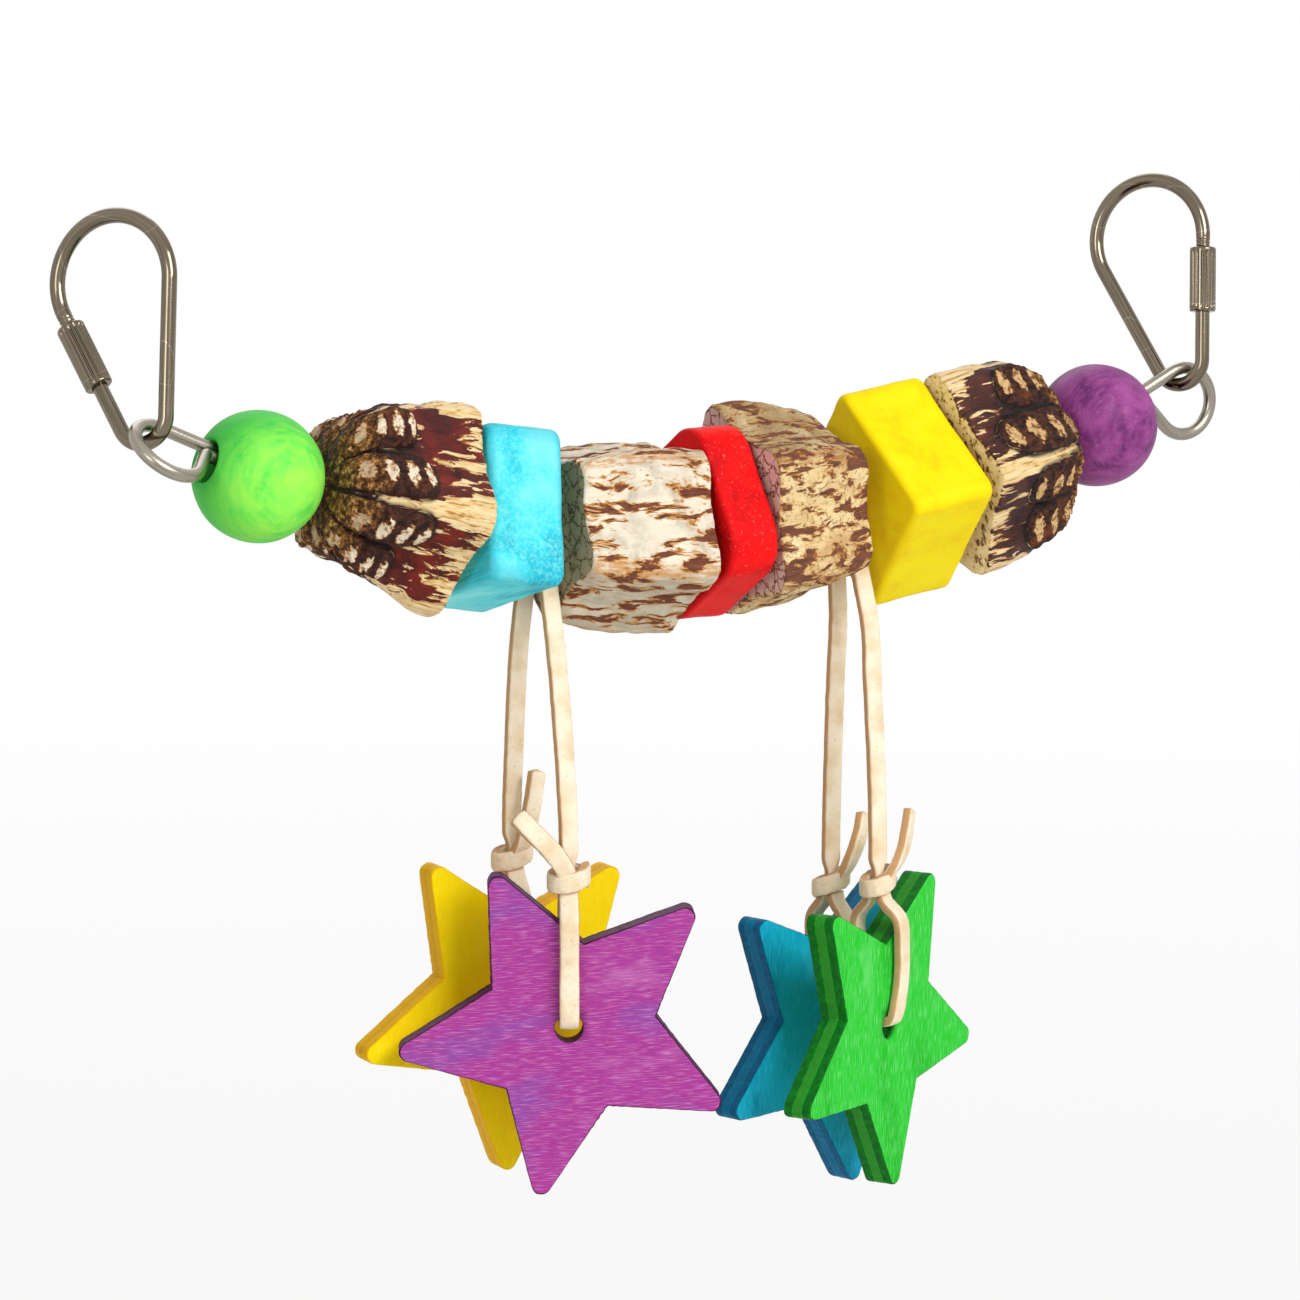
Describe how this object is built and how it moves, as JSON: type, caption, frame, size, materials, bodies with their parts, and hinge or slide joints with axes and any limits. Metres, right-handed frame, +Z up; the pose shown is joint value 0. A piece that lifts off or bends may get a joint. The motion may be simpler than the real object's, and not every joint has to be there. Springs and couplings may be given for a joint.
{
  "type": "bird swing",
  "caption": "Hanging bird swing: a bent wire strung with dyed wooden beads and blocks and ridged pod cores, with lace-hung plywood stars and a screw quick link at each end",
  "frame": {"origin": "the inside of the left quick link's crown, at the point that bears on the bar", "axes": "X along the bar, from the left link to the right; -Y to the front of the swing, so +Y points away from the viewer; Z up"},
  "size_m": [0.2005, 0.0408, 0.1575],
  "materials": {
    "nickel_plate": "bright nickel plate",
    "steel_wire": "satin",
    "green_wood": "satin dye",
    "purple_wood": "satin dye",
    "turquoise_wood": "matte dye",
    "red_wood": "matte dye",
    "yellow_wood": "matte dye",
    "maroon_pod": "rough natural",
    "pale_pod": "rough natural",
    "mottled_pod": "rough natural",
    "purple_plywood": "matte dye",
    "yellow_plywood": "matte dye",
    "green_plywood": "matte dye",
    "blue_plywood": "matte dye",
    "suede_lace": "suede"
  },
  "bodies": {
    "left_link": {"left_quick_link": "nickel_plate"},
    "left_nut": {"left_sleeve_nut": "nickel_plate"},
    "wire": {"swing_wire": "steel_wire", "left_lace_saddle": "suede_lace", "right_lace_saddle": "suede_lace"},
    "right_link": {"right_quick_link": "nickel_plate"},
    "right_nut": {"right_sleeve_nut": "nickel_plate"},
    "green_bead": {"green_bead": "green_wood"},
    "left_pod_core": {"left_pod_core": "maroon_pod"},
    "blue_block": {"blue_block": "turquoise_wood"},
    "pale_pod_core": {"pale_pod_core": "pale_pod"},
    "red_block": {"red_block": "red_wood"},
    "mottled_pod_core": {"mottled_pod_core": "mottled_pod"},
    "yellow_block": {"yellow_block": "yellow_wood"},
    "right_pod_core": {"right_pod_core": "maroon_pod"},
    "purple_bead": {"purple_bead": "purple_wood"},
    "purple_strand": {"purple_lace_strand": "suede_lace"},
    "purple_loop": {"purple_lace_loop": "suede_lace"},
    "purple_star": {"purple_star": "purple_plywood"},
    "yellow_strand": {"yellow_lace_strand": "suede_lace"},
    "yellow_loop": {"yellow_lace_loop": "suede_lace"},
    "yellow_star": {"yellow_star": "yellow_plywood"},
    "green_strand": {"green_lace_strand": "suede_lace"},
    "green_loop": {"green_lace_loop": "suede_lace"},
    "green_star": {"green_star": "green_plywood"},
    "blue_strand": {"blue_lace_strand": "suede_lace"},
    "blue_loop": {"blue_lace_loop": "suede_lace"},
    "blue_star": {"blue_star": "blue_plywood"}
  },
  "joints": [
    {"name": "left_nut_travel", "type": "slide", "parent": "left_link", "child": "left_nut", "axis": [0.1673, -0.5703, -0.8042], "range_m": [0, 0.0065]},
    {"name": "swing", "type": "hinge", "parent": "left_link", "child": "wire", "pos_m": [0, -0.01133, -0.02804], "axis": [1, 0, 0], "range_deg": [-30, 25]},
    {"name": "right_link_swing", "type": "hinge", "parent": "wire", "child": "right_link", "pos_m": [0.18663, -0.01133, -0.02804], "axis": [1, 0, 0], "range_deg": [-25, 30]},
    {"name": "right_nut_travel", "type": "slide", "parent": "right_link", "child": "right_nut", "axis": [-0.1007, -0.1423, -0.9847], "range_m": [0, 0.0065]},
    {"name": "green_bead_spin", "type": "hinge", "parent": "wire", "child": "green_bead", "pos_m": [0.01925, -0.01133, -0.03644], "axis": [0.9529, 0, -0.3032], "continuous": true},
    {"name": "left_pod_core_spin", "type": "hinge", "parent": "wire", "child": "left_pod_core", "pos_m": [0.03954, -0.01133, -0.0405], "axis": [0.9748, 0, -0.2232], "continuous": true},
    {"name": "blue_block_spin", "type": "hinge", "parent": "wire", "child": "blue_block", "pos_m": [0.05768, -0.01133, -0.0448], "axis": [0.9888, 0, -0.1495], "continuous": true},
    {"name": "pale_pod_core_spin", "type": "hinge", "parent": "wire", "child": "pale_pod_core", "pos_m": [0.07971, -0.01133, -0.04698], "axis": [0.9981, 0, -0.061], "continuous": true},
    {"name": "red_block_spin", "type": "hinge", "parent": "wire", "child": "red_block", "pos_m": [0.0962, -0.01133, -0.04764], "axis": [1, 0, 0.0052], "continuous": true},
    {"name": "mottled_pod_core_spin", "type": "hinge", "parent": "wire", "child": "mottled_pod_core", "pos_m": [0.11048, -0.01133, -0.04634], "axis": [0.998, 0, 0.0628], "continuous": true},
    {"name": "yellow_block_spin", "type": "hinge", "parent": "wire", "child": "yellow_block", "pos_m": [0.13156, -0.01133, -0.04485], "axis": [0.9891, 0, 0.1473], "continuous": true},
    {"name": "right_pod_core_spin", "type": "hinge", "parent": "wire", "child": "right_pod_core", "pos_m": [0.1505, -0.01133, -0.04045], "axis": [0.9745, 0, 0.2242], "continuous": true},
    {"name": "purple_bead_spin", "type": "hinge", "parent": "wire", "child": "purple_bead", "pos_m": [0.17054, -0.01133, -0.03644], "axis": [0.9529, 0, 0.3032], "continuous": true},
    {"name": "purple_lace_swing", "type": "hinge", "parent": "wire", "child": "purple_strand", "pos_m": [0.06668, -0.01133, -0.04477], "axis": [0.9935, 0, -0.1139], "range_deg": [-40, 0]},
    {"name": "purple_lace_twist", "type": "hinge", "parent": "purple_strand", "child": "purple_loop", "pos_m": [0.06611, -0.02113, -0.09857], "axis": [0, 0, 1], "range_deg": [-2, 20]},
    {"name": "purple_star_rock", "type": "hinge", "parent": "purple_loop", "child": "purple_star", "pos_m": [0.06611, -0.02113, -0.12037], "axis": [-0.4848, -0.8746, 0], "range_deg": [-2, 22]},
    {"name": "yellow_lace_swing", "type": "hinge", "parent": "wire", "child": "yellow_strand", "pos_m": [0.06668, -0.01133, -0.04477], "axis": [0.9935, 0, -0.1139], "range_deg": [0, 40]},
    {"name": "yellow_lace_twist", "type": "hinge", "parent": "yellow_strand", "child": "yellow_loop", "pos_m": [0.06611, -0.00453, -0.09757], "axis": [0, 0, 1], "range_deg": [-20, 2]},
    {"name": "yellow_star_rock", "type": "hinge", "parent": "yellow_loop", "child": "yellow_star", "pos_m": [0.06611, -0.00453, -0.11937], "axis": [-0.1219, -0.9925, 0], "range_deg": [-8, 16]},
    {"name": "green_lace_swing", "type": "hinge", "parent": "wire", "child": "green_strand", "pos_m": [0.12156, -0.01133, -0.04494], "axis": [0.9942, 0, 0.1077], "range_deg": [-40, 0]},
    {"name": "green_lace_twist", "type": "hinge", "parent": "green_strand", "child": "green_loop", "pos_m": [0.12358, -0.01913, -0.10474], "axis": [0, 0, 1], "range_deg": [-12, 2]},
    {"name": "green_star_rock", "type": "hinge", "parent": "green_loop", "child": "green_star", "pos_m": [0.12358, -0.01913, -0.12654], "axis": [0.4226, -0.9063, 0], "range_deg": [-17, 7]},
    {"name": "blue_lace_swing", "type": "hinge", "parent": "wire", "child": "blue_strand", "pos_m": [0.12156, -0.01133, -0.04494], "axis": [0.9942, 0, 0.1077], "range_deg": [0, 40]},
    {"name": "blue_lace_twist", "type": "hinge", "parent": "blue_strand", "child": "blue_loop", "pos_m": [0.12358, -0.00613, -0.10674], "axis": [0, 0, 1], "range_deg": [-2, 12]},
    {"name": "blue_star_rock", "type": "hinge", "parent": "blue_loop", "child": "blue_star", "pos_m": [0.12358, -0.00613, -0.12854], "axis": [0.2079, -0.9781, 0], "range_deg": [-20, 4]}
  ],
  "couplings": [
    {"joint": "right_link_swing", "follows": "swing", "ratio": -1}
  ]
}
